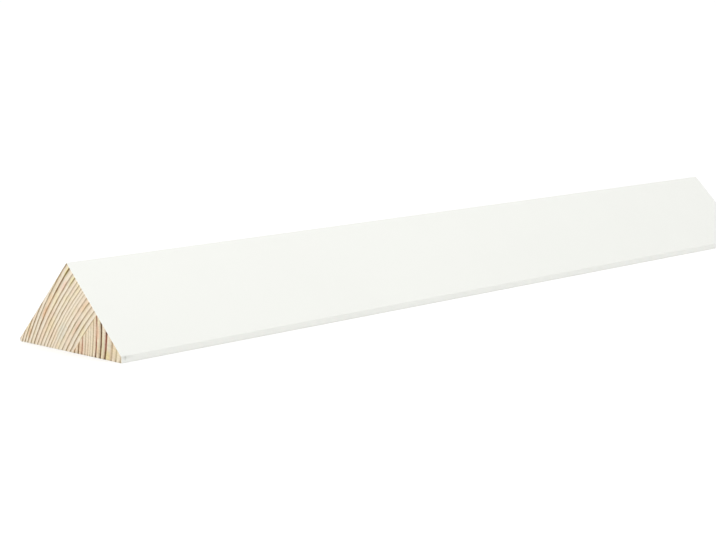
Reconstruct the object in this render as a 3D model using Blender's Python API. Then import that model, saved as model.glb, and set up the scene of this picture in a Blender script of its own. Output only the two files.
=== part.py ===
"""Triangle moulding: a right-angled bar of pine, glued up from two staves and painted white.

The bar lies on its widest side, the base, with its right angle up. X runs along the bar, Y across it and Z up.
The origin is the middle of the base. All sizes are in metres.
"""

import math

import bmesh
import bpy
from mathutils import Vector

# Driving dimensions of the bar
LENGTH = 0.286  # between the two sawn ends
LEG_WIDTH = 0.033  # each of the two equal sides, to the sharp edge that the land cuts away
LEFT_LAND_HEIGHT = 0.0010  # upright flat that blunts the left lower edge
RIGHT_LAND_HEIGHT = 0.0018  # upright flat that blunts the right lower edge
APEX_RADIUS = 0.0003  # eased right-angled edge on top
LAND_RADIUS = 0.0004  # eased edges above and below each land

# Driving dimensions of the glue joint
MAIN_STAVE_THICKNESS = 0.0171  # from the left leg's face to the joint, which runs parallel to it
GLUE_GAP = 0.0003  # clear width left between the two staves

# Segments in each eased edge
APEX_SEGMENTS = 8
LAND_SEGMENTS = 4

# Sizes that follow from the right angle and the lands; the origin stays in the middle of the base
APEX_HEIGHT = LEG_WIDTH / math.sqrt(2)
APEX_Y = (LEFT_LAND_HEIGHT - RIGHT_LAND_HEIGHT) / 2
LEFT_EDGE_Y = APEX_Y + APEX_HEIGHT - LEFT_LAND_HEIGHT
RIGHT_EDGE_Y = APEX_Y - APEX_HEIGHT + RIGHT_LAND_HEIGHT
LEFT_LEG_NORMAL = Vector((0.0, 1.0, 1.0)).normalized()
LEFT_LEG_DISTANCE = (APEX_Y + APEX_HEIGHT) / math.sqrt(2)  # from the origin to the left leg's plane

# Finishes: linear RGB, roughness
WHITE_PAINT = ("white_paint", (0.92, 0.94, 0.89), 0.42)
SAWN_PINE = ("sawn_pine", (0.80, 0.62, 0.38), 0.85)
PAINT_SLOT = 0
PINE_SLOT = 1

# How a face is told apart, and which edges are shaded sharp
FACING_ALONG = 0.5  # a sawn end's normal has at least this share along X
FACING_JOINT = 0.99  # a joint face's normal has at least this share across the joint
SHARP_EDGE_ANGLE = math.radians(30)


def clear_scene():
    """Removes every object of the scene that the file starts with."""
    for obj in list(bpy.data.objects):
        bpy.data.objects.remove(obj, do_unlink=True)


def make_material(name, colour, roughness):
    """A plain Principled material, shared by the objects that ask for it by name."""
    material = bpy.data.materials.get(name) or bpy.data.materials.new(name)
    material.use_nodes = True
    shader = material.node_tree.nodes["Principled BSDF"]
    shader.inputs["Base Color"].default_value = (*colour, 1.0)
    shader.inputs["Roughness"].default_value = roughness
    shader.inputs["Metallic"].default_value = 0.0
    return material


def eased_corner(before, corner, after, radius, segments):
    """Points of the arc that eases one corner of an outline, from the side of before to the side of after."""
    to_before = (before - corner).normalized()
    to_after = (after - corner).normalized()
    half_angle = to_before.angle(to_after) / 2
    centre = corner + (to_before + to_after).normalized() * radius / math.sin(half_angle)
    setback = radius / math.tan(half_angle)
    start = corner + to_before * setback - centre
    end = corner + to_after * setback - centre
    turn = math.pi - 2 * half_angle
    points = []
    for step in range(segments + 1):
        share = step / segments
        arm = start * math.sin((1 - share) * turn) + end * math.sin(share * turn)
        points.append(centre + arm / math.sin(turn))
    return points


def section_outline():
    """Closed outline of the moulding in the YZ plane: base, two lands, two legs and the eased apex."""
    left_radius = min(LAND_RADIUS, LEFT_LAND_HEIGHT / 2)
    right_radius = min(LAND_RADIUS, RIGHT_LAND_HEIGHT / 2)
    corners = [
        (Vector((RIGHT_EDGE_Y, 0.0)), right_radius, LAND_SEGMENTS),
        (Vector((RIGHT_EDGE_Y, RIGHT_LAND_HEIGHT)), right_radius, LAND_SEGMENTS),
        (Vector((APEX_Y, APEX_HEIGHT)), APEX_RADIUS, APEX_SEGMENTS),
        (Vector((LEFT_EDGE_Y, LEFT_LAND_HEIGHT)), left_radius, LAND_SEGMENTS),
        (Vector((LEFT_EDGE_Y, 0.0)), left_radius, LAND_SEGMENTS),
    ]
    outline = []
    for index, (corner, radius, segments) in enumerate(corners):
        before = corners[index - 1][0]
        after = corners[(index + 1) % len(corners)][0]
        outline += eased_corner(before, corner, after, radius, segments)
    return outline


def extruded_bar():
    """The whole moulding as one prism along X, centred on the origin."""
    bar = bmesh.new()
    rim = [bar.verts.new((-LENGTH / 2, point.x, point.y)) for point in section_outline()]
    end_face = bar.faces.new(rim)
    extruded = bmesh.ops.extrude_face_region(bar, geom=[end_face])
    moved = [item for item in extruded["geom"] if isinstance(item, bmesh.types.BMVert)]
    bmesh.ops.translate(bar, verts=moved, vec=(LENGTH, 0.0, 0.0))
    bmesh.ops.recalc_face_normals(bar, faces=bar.faces)
    return bar


def cut_at_joint(bar, keep_left):
    """Keeps the part of the bar on one side of the glue joint and closes the cut."""
    offset = GLUE_GAP / 2 if keep_left else -GLUE_GAP / 2
    distance = LEFT_LEG_DISTANCE - MAIN_STAVE_THICKNESS + offset
    cut = bmesh.ops.bisect_plane(
        bar,
        geom=[*bar.verts, *bar.edges, *bar.faces],
        plane_co=LEFT_LEG_NORMAL * distance,
        plane_no=LEFT_LEG_NORMAL,
        clear_inner=keep_left,
        clear_outer=not keep_left,
    )
    edges = [item for item in cut["geom_cut"] if isinstance(item, bmesh.types.BMEdge)]
    bmesh.ops.edgeloop_fill(bar, edges=edges)
    bmesh.ops.recalc_face_normals(bar, faces=bar.faces)


def finish_faces(bar):
    """Bare pine on the sawn ends and in the glue joint, paint on the long faces."""
    joint_normal = LEFT_LEG_NORMAL
    joint_distance = LEFT_LEG_DISTANCE - MAIN_STAVE_THICKNESS
    for face in bar.faces:
        is_end = abs(face.normal.x) > FACING_ALONG
        faces_joint = abs(face.normal.dot(joint_normal)) > FACING_JOINT
        height = face.calc_center_median().dot(joint_normal)
        in_joint = faces_joint and abs(height - joint_distance) < GLUE_GAP
        face.material_index = PINE_SLOT if is_end or in_joint else PAINT_SLOT


def make_stave(name, keep_left):
    """One stave of the glued bar as an object at the origin."""
    bar = extruded_bar()
    cut_at_joint(bar, keep_left)
    finish_faces(bar)
    mesh = bpy.data.meshes.new(name)
    bar.to_mesh(mesh)
    bar.free()
    mesh.materials.append(make_material(*WHITE_PAINT))
    mesh.materials.append(make_material(*SAWN_PINE))
    mesh.shade_smooth()
    mesh.set_sharp_from_angle(angle=SHARP_EDGE_ANGLE)
    stave = bpy.data.objects.new(name, mesh)
    bpy.context.scene.collection.objects.link(stave)
    return stave


def main():
    """Builds the two staves of the moulding."""
    clear_scene()
    make_stave("main_stave", keep_left=True)
    make_stave("edge_stave", keep_left=False)


main()
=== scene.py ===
"""Looks of the triangle moulding: two glued pine staves under a coat of satin white paint, sawn off square.

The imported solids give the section, the glue joint and the length. Sizes are in metres, in their frame:
X runs along the bar, Y across it and Z up, with the origin in the middle of the base.
"""

import logging
import math
from bisect import bisect_right
from collections.abc import Callable, Iterable, Sequence
from dataclasses import dataclass, replace
from enum import Enum
from functools import partial
from itertools import accumulate

import bmesh
import bpy
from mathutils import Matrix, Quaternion, Vector, noise
from mathutils.geometry import convex_hull_2d


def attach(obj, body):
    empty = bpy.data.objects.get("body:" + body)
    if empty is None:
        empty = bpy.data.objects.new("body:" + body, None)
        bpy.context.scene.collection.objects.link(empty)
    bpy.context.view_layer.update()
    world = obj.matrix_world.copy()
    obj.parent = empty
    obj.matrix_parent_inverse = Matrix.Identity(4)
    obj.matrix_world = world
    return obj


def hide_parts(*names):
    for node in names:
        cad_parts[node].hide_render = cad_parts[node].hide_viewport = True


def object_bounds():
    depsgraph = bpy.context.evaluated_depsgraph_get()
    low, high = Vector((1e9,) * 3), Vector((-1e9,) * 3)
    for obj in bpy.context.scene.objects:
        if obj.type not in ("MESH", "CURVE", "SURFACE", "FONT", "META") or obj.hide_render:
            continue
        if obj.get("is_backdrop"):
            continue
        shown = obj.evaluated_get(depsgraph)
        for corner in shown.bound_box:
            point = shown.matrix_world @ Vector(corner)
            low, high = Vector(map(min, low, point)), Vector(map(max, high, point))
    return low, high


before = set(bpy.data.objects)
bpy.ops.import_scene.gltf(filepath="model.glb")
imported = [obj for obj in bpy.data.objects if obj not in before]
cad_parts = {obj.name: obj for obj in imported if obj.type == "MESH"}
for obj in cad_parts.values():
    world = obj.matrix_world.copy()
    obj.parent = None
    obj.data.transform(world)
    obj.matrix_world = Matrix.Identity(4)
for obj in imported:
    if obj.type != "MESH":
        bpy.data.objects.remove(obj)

MM = 0.001
REPORT = logging.getLogger("triangle_moulding")
LEFT_LEG_NORMAL = Vector((1.0, 1.0)).normalized()  # in the YZ plane, out of the left leg
RIGHT_LEG_NORMAL = Vector((-1.0, 1.0)).normalized()
LAND_ARRIS = Vector((-3.0, 1.0))  # points out of the edge between the right land and the right leg
LEG_FADE = 4  # the higher, the faster a side loses its share of the right leg as it turns away
SAME_POINT = 0.002 * MM  # points closer than this are one
LEAST_TURN = 0.01  # sine of the smallest turn that makes a corner
SHARP_ANGLE = math.radians(50)  # edges that turn by more than this stay sharp
GROWTH_MAP = "growth"  # UV map: year rings counted outwards, and millimetres along the ring
BAKE_MAP = "OFBake"  # UV map that lays the sawn ends out large and flat
NOISE_SPAN = (0.3, 0.7)  # nearly all of a noise texture lies between these
WHITE = (1.0, 1.0, 1.0, 1.0)

Source = bpy.types.Node | bpy.types.NodeSocket  # a socket, or a node that stands for its first output in use
Inputs = dict[str, object] | Sequence[object]
AddNode = Callable[..., bpy.types.Node]  # add_node for one tree


class LatewoodTone(Enum):
    """Colours of the dark half of a year ring, as sRGB hex."""

    STRAW = "#A8906A"
    TAUPE = "#8E7650"
    OCHRE = "#9A7040"
    BROWN = "#785A32"
    SIENNA = "#955A3A"
    RED = "#803E28"
    UMBER = "#5A3A1C"


class BarEnd(Enum):
    """The two sawn ends, each with the side of the origin that it is on."""

    NEAR = -1
    FAR = 1


def linear(hex_colour: str) -> tuple[float, float, float, float]:
    """Turns an sRGB hex colour into linear RGB.

    Args:
        hex_colour: A hash sign and six hex digits.

    Returns:
        Red, green, blue and an alpha of one.
    """
    parts = [int(hex_colour[i : i + 2], 16) / 255 for i in (1, 3, 5)]
    red, green, blue = (p / 12.92 if p <= 0.04045 else ((p + 0.055) / 1.055) ** 2.4 for p in parts)
    return (red, green, blue, 1.0)


def feed(node: bpy.types.Node, inputs: Inputs) -> None:
    """Sets or links inputs of a node.

    Args:
        node: The node.
        inputs: What each input gets, under the input's name, or in order for the inputs in use. A socket or a
            node is linked, and anything else is a value.
    """
    if isinstance(inputs, dict):
        pairs = [(node.inputs[name], given) for name, given in inputs.items()]
    else:
        pairs = list(zip([socket for socket in node.inputs if socket.enabled], inputs))
    for socket, given in pairs:
        if isinstance(given, bpy.types.Node):
            given = next(output for output in given.outputs if output.enabled)
        if isinstance(given, bpy.types.NodeSocket):
            node.id_data.links.new(given, socket)
        else:
            socket.default_value = given


def add_node(tree: bpy.types.NodeTree, kind: str, inputs: Inputs = (), **settings: object) -> bpy.types.Node:
    """Adds a node with its settings, and sets or links its inputs.

    Args:
        tree: The shader or geometry tree that gets the node.
        kind: Blender's name for the node's type.
        inputs: What its inputs get, as feed takes it.
        settings: The node's own properties.

    Returns:
        The new node.
    """
    node = tree.nodes.new(kind)
    for name, value in settings.items():
        setattr(node, name, value)
    feed(node, inputs)
    return node


def fill_ramp(
    ramp: bpy.types.ColorRamp, stops: Sequence[tuple[float, Sequence[float]]], interpolation: str = "LINEAR"
) -> None:
    """Gives a colour ramp its stops.

    Args:
        ramp: The ramp to fill.
        stops: Places from 0 to 1 in rising order, each with red, green, blue and alpha.
        interpolation: Blender's name for how the ramp runs between its stops.
    """
    ramp.interpolation = interpolation
    while len(ramp.elements) > 1:
        ramp.elements.remove(ramp.elements[-1])
    for number, (place, colour) in enumerate(stops):
        stop = ramp.elements[0] if number == 0 else ramp.elements.new(place)
        stop.position = place
        stop.color = colour


def new_material(name: str) -> tuple[bpy.types.Material, AddNode, bpy.types.Node]:
    """Starts a node material.

    Args:
        name: What the material is.

    Returns:
        The material, a function that adds nodes to its tree, and its Principled shader.
    """
    material = bpy.data.materials.new(name)
    material.use_nodes = True
    tree = material.node_tree
    return material, partial(add_node, tree), tree.nodes["Principled BSDF"]


def add_object(name: str, data: bpy.types.ID) -> bpy.types.Object:
    """Adds an object to the scene, at the origin.

    Args:
        name: Its name.
        data: Its mesh, curve, light or camera.

    Returns:
        The object.
    """
    added = bpy.data.objects.new(name, data)
    bpy.context.scene.collection.objects.link(added)
    return added


def evaluated_mesh(source: bpy.types.Object) -> bpy.types.Mesh:
    """The plain mesh that an object and its modifiers make."""
    graph = bpy.context.evaluated_depsgraph_get()
    return bpy.data.meshes.new_from_object(source.evaluated_get(graph))


def true_corners(hull: Sequence[Vector]) -> tuple[Vector, ...]:
    """Drops the points of a closed outline that repeat another one or lie on a straight side.

    Args:
        hull: The outline's points in order.

    Returns:
        The corners that are left, anticlockwise.
    """
    apart = [point for i, point in enumerate(hull) if (point - hull[i - 1]).length > SAME_POINT]
    corners = []
    for i, point in enumerate(apart):
        into = (point - apart[i - 1]).normalized()
        out = (apart[(i + 1) % len(apart)] - point).normalized()
        if abs(into.cross(out)) > LEAST_TURN:
            corners.append(point.copy())
    area = sum(corners[i - 1].cross(corners[i]) for i in range(len(corners)))
    return tuple(corners if area > 0.0 else reversed(corners))


def right_leg_share(normal: Vector) -> float:
    """How far a side of the section belongs to the right leg, from 0 to 1, by its outward normal."""
    return max(0.0, normal.dot(RIGHT_LEG_NORMAL)) ** LEG_FADE


def smooth_noise(y: float, z: float, wavelength: float, seed: float) -> float:
    """Noise from about -1 to 1 over the section.

    Args:
        y: Place across the bar.
        z: Height.
        wavelength: Distance over which the noise changes, in the unit of y and z.
        seed: Picks one of many unlike patterns.

    Returns:
        The noise at that place.
    """
    return noise.noise(Vector((y / wavelength, z / wavelength, seed)))


@dataclass(frozen=True)
class Section:
    """The moulding's section in the YZ plane, with depths measured inwards from its two legs.

    A depth is the distance from the left leg's plane, and a reach the distance from the right leg's plane.
    The legs meet at a right angle, so the two are plain coordinates of the section.
    """

    outline: tuple[Vector, ...]
    left_distance: float
    right_distance: float
    joint_depth: float
    half_length: float

    @classmethod
    def from_frame(cls) -> "Section":
        """Reads the section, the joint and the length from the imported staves.

        Returns:
            The section of the two staves together.
        """
        low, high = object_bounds()
        points: dict[str, list[Vector]] = {}
        for name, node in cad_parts.items():
            points[name] = [Vector((v.co.y, v.co.z)) for v in node.data.vertices if v.co.x < 0.0]
        every_point = [point for group in points.values() for point in group]
        outline = true_corners([every_point[i] for i in convex_hull_2d(every_point)])
        left_distance = max(point.dot(LEFT_LEG_NORMAL) for point in outline)
        right_distance = max(point.dot(RIGHT_LEG_NORMAL) for point in outline)
        above = min(point.dot(LEFT_LEG_NORMAL) for point in points["main_stave"])
        below = max(point.dot(LEFT_LEG_NORMAL) for point in points["edge_stave"])
        joint_depth = left_distance - (above + below) / 2
        return cls(outline, left_distance, right_distance, joint_depth, (high.x - low.x) / 2)

    def depth_of(self, point: Vector) -> float:
        """Distance of a point from the left leg's plane."""
        return self.left_distance - point.dot(LEFT_LEG_NORMAL)

    def reach_of(self, point: Vector) -> float:
        """Distance of a point from the right leg's plane."""
        return self.right_distance - point.dot(RIGHT_LEG_NORMAL)

    def place(self, depth: float, reach: float) -> Vector:
        """The YZ point at a depth and a reach."""
        along_left, along_right = self.left_distance - depth, self.right_distance - reach
        return LEFT_LEG_NORMAL * along_left + RIGHT_LEG_NORMAL * along_right

    def inset(self, distance: float, right_leg: float) -> "Section":
        """The same section with every side moved inwards.

        Args:
            distance: How far the base and the left leg move.
            right_leg: How far the right leg moves; the eased edges beside it run from one to the other.

        Returns:
            A section whose depths and reaches are still measured from the full legs.
        """
        moved = []
        count = len(self.outline)
        for i in range(count):
            before, corner, after = self.outline[i - 1], self.outline[i], self.outline[(i + 1) % count]
            inwards = [side.normalized().orthogonal() for side in (corner - before, after - corner)]
            shifts = [distance + (right_leg - distance) * right_leg_share(-normal) for normal in inwards]
            turn = inwards[0].cross(inwards[1])
            across = (inwards[1] * shifts[0] - inwards[0] * shifts[1]) / turn
            moved.append(corner + Vector((across.y, -across.x)))
        return replace(self, outline=tuple(moved))

    def chord(self, depth: float) -> tuple[float, float]:
        """Where a line parallel to the left leg enters and leaves the outline.

        Args:
            depth: The line's distance from the left leg's plane.

        Returns:
            The least and the greatest reach along the line.
        """
        reaches = []
        for i, corner in enumerate(self.outline):
            before = self.outline[i - 1]
            ahead, behind = self.depth_of(corner) - depth, self.depth_of(before) - depth
            if ahead * behind <= 0.0 and ahead != behind:
                share = behind / (behind - ahead)
                reaches.append(self.reach_of(before.lerp(corner, share)))
        return min(reaches), max(reaches)

    def depth_limits(self) -> tuple[float, float]:
        """The least and the greatest depth of the outline."""
        depths = [self.depth_of(point) for point in self.outline]
        return min(depths), max(depths)

    def divided_outline(self, spacing: float) -> list[Vector]:
        """The outline with its long sides divided.

        Args:
            spacing: Longest distance between two points.

        Returns:
            The points in order round the section.
        """
        points = []
        for i, corner in enumerate(self.outline):
            after = self.outline[(i + 1) % len(self.outline)]
            steps = max(1, math.ceil((after - corner).length / spacing))
            points += [corner.lerp(after, step / steps) for step in range(steps)]
        return points


@dataclass(frozen=True)
class GrowthBand:
    """Year rings that grew alike, counted outwards from the pith."""

    rings: int
    width_mm: float
    tone: LatewoodTone
    strength: float  # of the dark line; above one it is also wider
    widening_mm: float = 0.0  # how much wider the rings get per radian, anticlockwise


@dataclass(frozen=True)
class Growth:
    """The year rings of the log that a stave was sawn from.

    The pith's place and the radius of the first dark line are in millimetres in the YZ plane at the near end.
    """

    pith_mm: tuple[float, float]
    first_line_mm: float
    middle_angle: float  # degrees from +Y, where the rings have the widths that the bands give
    bands: tuple[GrowthBand, ...]
    seed: float
    wave_seed: float = 7.3  # sets the noise of one wave apart from that of the next
    end_seed: float = 1.7  # and that of the far end from that of the near one
    drift_mm: tuple[float, float] = (1.6, -0.9)  # how far the pith moves from the near end to the far one
    waves: tuple[tuple[float, float], ...] = ((9.0, 0.14), (2.6, 0.07), (0.8, 0.03))  # length, height in mm
    profile: tuple[tuple[float, float], ...] = (
        (0.0, 0.0),
        (0.32, 0.06),
        (0.58, 0.28),
        (0.74, 0.85),
        (0.82, 1.0),
        (0.91, 1.0),
        (0.96, 0.5),
        (1.0, 0.0),
    )  # darkness through one ring: slowly rising into the latewood, then a sharp end
    dark_share: float = 0.84  # where in the ring the measured dark line lies

    @property
    def ring_count(self) -> int:
        """How many dark lines the bands hold."""
        return sum(band.rings for band in self.bands)

    def line_radii(self, angle: float) -> list[float]:
        """Radii of the dark lines in millimetres, with one more past the last.

        Args:
            angle: Direction from the pith, in radians from +Y.

        Returns:
            The radii, from the innermost line outwards.
        """
        turn = (angle - math.radians(self.middle_angle) + math.pi) % (2.0 * math.pi) - math.pi
        widths = (band.width_mm + band.widening_mm * turn for band in self.bands for _ in range(band.rings))
        return list(accumulate(widths, initial=self.first_line_mm))

    def phase(self, point: Vector, along: float) -> tuple[float, float]:
        """Counts the year rings up to a place in the stave.

        Args:
            point: Place in the YZ plane, in metres.
            along: Share of the bar's length, from 0 at the near end to 1 at the far one.

        Returns:
            The count, whole on each dark line, and the distance along the ring in millimetres.
        """
        y = point.x / MM - self.pith_mm[0] - self.drift_mm[0] * along
        z = point.y / MM - self.pith_mm[1] - self.drift_mm[1] * along
        radius = math.hypot(y, z)
        angle = math.atan2(z, y)
        for number, (wavelength, height) in enumerate(self.waves):
            seed = self.seed + self.wave_seed * number + self.end_seed * along
            radius += height * smooth_noise(y, z, wavelength, seed)
        radii = self.line_radii(angle)
        ring = min(max(bisect_right(radii, radius) - 1, 0), len(radii) - 2)
        count = ring + (radius - radii[ring]) / (radii[ring + 1] - radii[ring])
        return count, (angle % (2.0 * math.pi)) * self.first_line_mm

    def darkness(self, count: float) -> float:
        """How much latewood there is at a ring count.

        Args:
            count: Year rings up to the place, whole on each dark line.

        Returns:
            From 0 in the earlywood to 1 in the dark line.
        """
        share = (count + self.dark_share) % 1.0
        for (left, low), (right, high) in zip(self.profile, self.profile[1:]):
            if share <= right:
                return low + (high - low) * (share - left) / (right - left)
        return 0.0


@dataclass(frozen=True)
class Tint:
    """A streak of another shade, such as resin, which runs along a ring and along the bar."""

    place_mm: tuple[float, float]  # across the bar and up, in the near end
    size_mm: tuple[float, float]  # half its length along the ring, half its width across it
    slope: float  # degrees from +Y in which the ring runs there
    colour: str
    strength: float = 0.8
    depth_mm: float = 60.0  # how far it runs along the bar
    core: float = 0.25  # share of its size that has the full strength

    def factor(self, add: AddNode, from_end: Source) -> Source:
        """How much of the tint there is at a place.

        Args:
            add: Adds nodes to the material's tree.
            from_end: Object coordinates, measured from the middle of the near end.

        Returns:
            From 0 to the tint's strength.
        """
        centre = (0.0, self.place_mm[0] * MM, self.place_mm[1] * MM)
        centred = add("ShaderNodeVectorMath", (from_end, centre), operation="SUBTRACT")
        turn = {"Vector": centred, "Angle": -math.radians(self.slope)}
        turned = add("ShaderNodeVectorRotate", turn, rotation_type="X_AXIS")
        spans = tuple(1.0 / (span * MM) for span in (self.depth_mm, *self.size_mm))
        scaled = add("ShaderNodeVectorMath", (turned, spans), operation="MULTIPLY")
        distance = add("ShaderNodeVectorMath", (scaled,), operation="LENGTH")
        fade = (distance, 1.0, self.core, 0.0, self.strength)
        return add("ShaderNodeMapRange", fade, interpolation_type="SMOOTHSTEP")


@dataclass(frozen=True)
class SawnPine:
    """Pine end grain straight from the saw: cream earlywood, brown latewood lines and a dry, matt surface.

    Scales along the rings are patches for each ring and for each millimetre of arc.
    """

    name: str
    growth: Growth
    cream: str = "#EADDC4"
    rose: str = "#EBD0B6"
    butter: str = "#EADCAE"
    # for rose and for butter: the seed, then the noise at which the patches start and are full
    patches: tuple[tuple[float, float, float], ...] = ((3.0, 0.48, 0.66), (8.0, 0.50, 0.70))
    patch_scale: tuple[float, float, float] = (0.42, 0.13, 1.0)
    patch_strength: float = 0.6
    streak_scale: tuple[float, float, float] = (1.7, 0.22, 1.0)  # of light and dark stretches of the lines
    streak_gain: tuple[float, float] = (1.3, 2.5)  # about two, as the ramp's alpha holds half the strength
    tints: tuple[Tint, ...] = ()  # in the earlywood
    stains: tuple[Tint, ...] = ()  # in the dark lines
    roughness: tuple[float, float] = (0.72, 0.9)  # of the latewood, which is sawn smoother, and the rest
    ior: float = 1.53
    gloss: float = 0.15  # open pores swallow most of the reflection
    cell_mm: float = 0.13  # wood cells are about 0.03 mm, drawn coarser so that they show as grain
    cell_span: tuple[float, float] = (0.25, 0.75)
    cell_gain: tuple[float, float] = (0.84, 1.14)
    ray_mm: float = 0.22  # spacing of the pale rays that cross the rings
    ray_change: float = 0.35  # of a ray, per ring that it crosses
    ray_gain: tuple[float, float] = (0.92, 1.05)
    fibre_mm: float = 0.2  # spacing of the cut fibres that stand up
    fibre_height_mm: float = 0.03
    fibre_bump: float = 0.5
    base_dark_height_mm: float = 0.9  # strip along the base in which the latewood is drawn darker towards the base
    base_darkening: float = 0.85  # how far the latewood darkens there
    base_dark_tone: str = "#5E4A2E"
    fray_height_mm: float = 0.35  # strip along the base where loose fibres stand out
    fray: float = 0.0  # how far they hide the wood behind
    fray_tone: str = "#E6DFD2"

    def material(self, half_length: float) -> bpy.types.Material:
        """Builds the node material from the growth map and object coordinates.

        Args:
            half_length: From the bar's middle to its near end.

        Returns:
            The finished material.
        """
        material, add, shader = new_material(self.name)
        place = add("ShaderNodeTexCoord").outputs["Object"]
        from_end = add("ShaderNodeVectorMath", (place, (half_length, 0.0, 0.0)), operation="ADD")
        growth = add("ShaderNodeSeparateXYZ", (add("ShaderNodeUVMap", uv_map=GROWTH_MAP),))
        count, arc = growth.outputs["X"], growth.outputs["Y"]
        along_ring = add("ShaderNodeCombineXYZ", (count, arc))

        tone, strength = self.latewood(add, count, along_ring)
        pale = self.streaked(add, from_end, self.earlywood(add, along_ring), self.tints)
        dark = self.streaked(add, from_end, tone, self.stains)
        wood = add("ShaderNodeMix", (strength, pale, dark), data_type="RGBA")
        darkened_at_base = self.darkened_at_base(add, place, strength, wood)
        grain = self.fine_grain(add, place, along_ring)
        coloured = add("ShaderNodeVectorMath", (darkened_at_base, grain), operation="MULTIPLY")
        feed(shader, {"Base Color": coloured, "IOR": self.ior, "Specular IOR Level": self.gloss})
        self.surface(add, shader, place, strength)
        return material

    def latewood(self, add: AddNode, count: Source, along_ring: Source) -> tuple[Source, Source]:
        """Colour and amount of the dark half of the rings.

        Args:
            add: Adds nodes to the material's tree.
            count: Ring count.
            along_ring: Ring count and arc as a vector.

        Returns:
            The colour of the ring's dark line, and how much of it there is at a place.
        """
        share = add("ShaderNodeMath", (count, self.growth.dark_share), operation="ADD")
        share = add("ShaderNodeMath", (share,), operation="FRACT")
        profile = add("ShaderNodeValToRGB", (share,))
        darkness = [(place, (dark, dark, dark, 1.0)) for place, dark in self.growth.profile]
        fill_ramp(profile.color_ramp, darkness)
        nearest = add("ShaderNodeMath", (count, 0.5), operation="ADD")
        nearest = add("ShaderNodeMath", (nearest, self.growth.ring_count), operation="DIVIDE")
        tones = add("ShaderNodeValToRGB", (nearest,))
        fill_ramp(tones.color_ramp, self.tone_stops(), "CONSTANT")
        place = add("ShaderNodeVectorMath", (along_ring, self.streak_scale), operation="MULTIPLY")
        streaks = {"Vector": place, "Scale": 1.0, "Detail": 3.0, "Roughness": 0.6}
        streak = (add("ShaderNodeTexNoise", streaks), *NOISE_SPAN, *self.streak_gain)
        strength = add("ShaderNodeMath", (profile, tones.outputs["Alpha"]), operation="MULTIPLY")
        streaked = (strength, add("ShaderNodeMapRange", streak))
        return tones, add("ShaderNodeMath", streaked, operation="MULTIPLY", use_clamp=True)

    def tone_stops(self) -> list[tuple[float, tuple[float, float, float, float]]]:
        """Stops of the ramp over the ring count: a band's latewood colour, with half its strength as alpha.

        Returns:
            One stop for each band.
        """
        stops = []
        first = 0
        for band in self.growth.bands:
            red, green, blue, _ = linear(band.tone.value)
            stops.append((first / self.growth.ring_count, (red, green, blue, band.strength / 2)))
            first += band.rings
        return stops

    def earlywood(self, add: AddNode, along_ring: Source) -> Source:
        """Cream wood that turns a little rose or butter-coloured in patches along the rings.

        Args:
            add: Adds nodes to the material's tree.
            along_ring: Ring count and arc as a vector.

        Returns:
            The colour.
        """
        colour = linear(self.cream)
        for tint, (seed, *span) in zip((self.rose, self.butter), self.patches):
            shifted = (along_ring, self.patch_scale, (seed, seed, seed))
            place = add("ShaderNodeVectorMath", shifted, operation="MULTIPLY_ADD")
            patches = add("ShaderNodeTexNoise", {"Vector": place, "Scale": 1.0, "Detail": 2.0})
            factor = add("ShaderNodeMapRange", (patches, *span, 0.0, self.patch_strength))
            colour = add("ShaderNodeMix", (factor, colour, linear(tint)), data_type="RGBA")
        return colour

    @staticmethod
    def streaked(add: AddNode, from_end: Source, colour: Source, streaks: Iterable[Tint]) -> Source:
        """Lays streaks of other shades over a colour.

        Args:
            add: Adds nodes to the material's tree.
            from_end: Object coordinates, measured from the middle of the near end.
            colour: The colour without them.
            streaks: The streaks, the topmost last.

        Returns:
            The streaked colour.
        """
        for streak in streaks:
            laid = (streak.factor(add, from_end), colour, linear(streak.colour))
            colour = add("ShaderNodeMix", laid, data_type="RGBA")
        return colour

    def darkened_at_base(self, add: AddNode, place: Source, strength: Source, wood: Source) -> Source:
        """Darkens the latewood towards the base, and lays pale loose fibres over it.

        Args:
            add: Adds nodes to the material's tree.
            place: Object coordinates.
            strength: How much latewood there is.
            wood: The colour to darken.

        Returns:
            The colour, darkened towards the base and frayed.
        """
        height = add("ShaderNodeSeparateXYZ", (place,)).outputs["Z"]
        # latewood drawn darker towards the base
        fade = (height, 0.0, self.base_dark_height_mm * MM, self.base_darkening, 0.0)
        strip = add("ShaderNodeMapRange", fade, interpolation_type="SMOOTHSTEP")
        factor = add("ShaderNodeMath", (strip, strength), operation="MULTIPLY")
        darker = add("ShaderNodeMix", (factor, wood, linear(self.base_dark_tone)), data_type="RGBA")
        loose = add("ShaderNodeMapRange", (height, 0.0, self.fray_height_mm * MM, self.fray, 0.0))
        return add("ShaderNodeMix", (loose, darker, linear(self.fray_tone)), data_type="RGBA")

    def fine_grain(self, add: AddNode, place: Source, along_ring: Source) -> Source:
        """Brightness of the wood cells and of the rays that cross the rings.

        Args:
            add: Adds nodes to the material's tree.
            place: Object coordinates.
            along_ring: Ring count and arc as a vector.

        Returns:
            A factor near one.
        """
        pattern = {"Vector": place, "Scale": 1.0 / (self.cell_mm * MM), "Detail": 1.0}
        cells = add("ShaderNodeTexNoise", pattern)
        cell = add("ShaderNodeMapRange", (cells, *self.cell_span, *self.cell_gain))
        scale = (self.ray_change, 1.0 / self.ray_mm, 1.0)
        ray_place = add("ShaderNodeVectorMath", (along_ring, scale), operation="MULTIPLY")
        rays = add("ShaderNodeTexNoise", {"Vector": ray_place, "Scale": 1.0, "Detail": 1.0})
        ray = add("ShaderNodeMapRange", (rays, *NOISE_SPAN, *self.ray_gain))
        return add("ShaderNodeMath", (cell, ray), operation="MULTIPLY")

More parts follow.
